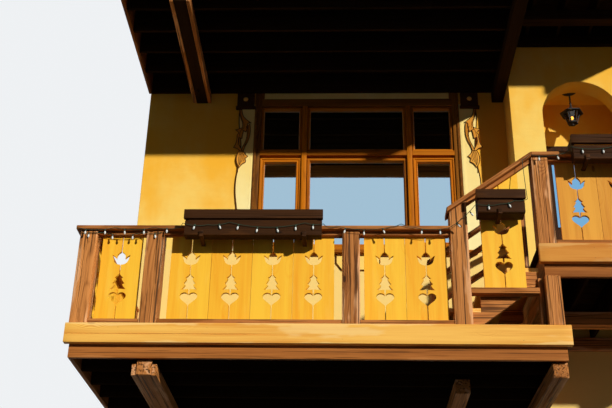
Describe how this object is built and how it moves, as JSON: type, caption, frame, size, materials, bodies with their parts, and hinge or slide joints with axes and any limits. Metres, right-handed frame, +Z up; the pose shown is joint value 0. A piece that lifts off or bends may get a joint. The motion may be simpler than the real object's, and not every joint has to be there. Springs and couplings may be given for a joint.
{
  "type": "alpine chalet balcony bay",
  "caption": "Stuccoed chalet wall bay with a three-light window, railed timber balcony with cut-out boards, short stair, gallery bay at an arched recess and the deck above.",
  "frame": {"origin": "on the flat back face of the house wall, below the middle of the balcony, level with the top of the balcony deck", "axes": "+X to the right along the wall as seen from the street, +Y through the wall into the house, +Z up"},
  "size_m": [6.356, 2.5027, 5.472],
  "materials": {
    "bulb_string": "gloss",
    "cream_plaster": "matte",
    "dark_timber": "satin",
    "glass": "polished",
    "golden_board": "satin",
    "honey_timber": "satin",
    "plaster": "matte",
    "reddish_timber": "satin",
    "scroll_paint": "matte",
    "soffit_timber": "matte",
    "weathered_timber": "matte",
    "window_wood": "satin",
    "wrought_iron": "satin"
  },
  "bodies": {
    "root": {"house_wall": "plaster", "gallery_pier": "plaster", "window_frame": "window_wood", "window_sashes": "window_wood", "window_glass": "glass", "window_surround": "cream_plaster", "scroll_ornaments": "scroll_paint", "deck_bearers": "weathered_timber", "bearer_cheeks": "weathered_timber", "deck_joists": "soffit_timber", "deck_rims": "reddish_timber", "deck_fascia": "honey_timber", "deck_planks": "soffit_timber", "front_posts": "weathered_timber", "stair_post": "weathered_timber", "wall_post": "weathered_timber", "narrow_panel": "golden_board", "wide_panel": "golden_board", "right_panel": "golden_board", "side_panel": "golden_board", "balcony_rails": "reddish_timber", "handrail_cap": "reddish_timber", "stair_stringers": "weathered_timber", "stair_treads": "honey_timber", "stair_panel": "golden_board", "stair_rails": "reddish_timber", "stair_inner_rail": "weathered_timber", "support_post": "weathered_timber", "gallery_beams": "weathered_timber", "gallery_joists": "soffit_timber", "gallery_planks": "soffit_timber", "gallery_edge": "honey_timber", "gallery_posts": "weathered_timber", "gallery_panel": "golden_board", "gallery_rails": "reddish_timber", "gallery_door": "dark_timber", "upper_beams": "weathered_timber", "upper_joists": "soffit_timber", "upper_planks": "soffit_timber", "upper_edge": "reddish_timber", "long_flower_box": "dark_timber", "stair_flower_box": "dark_timber", "gallery_flower_box": "dark_timber", "lantern": "wrought_iron", "light_string": "bulb_string"}
  },
  "joints": []
}
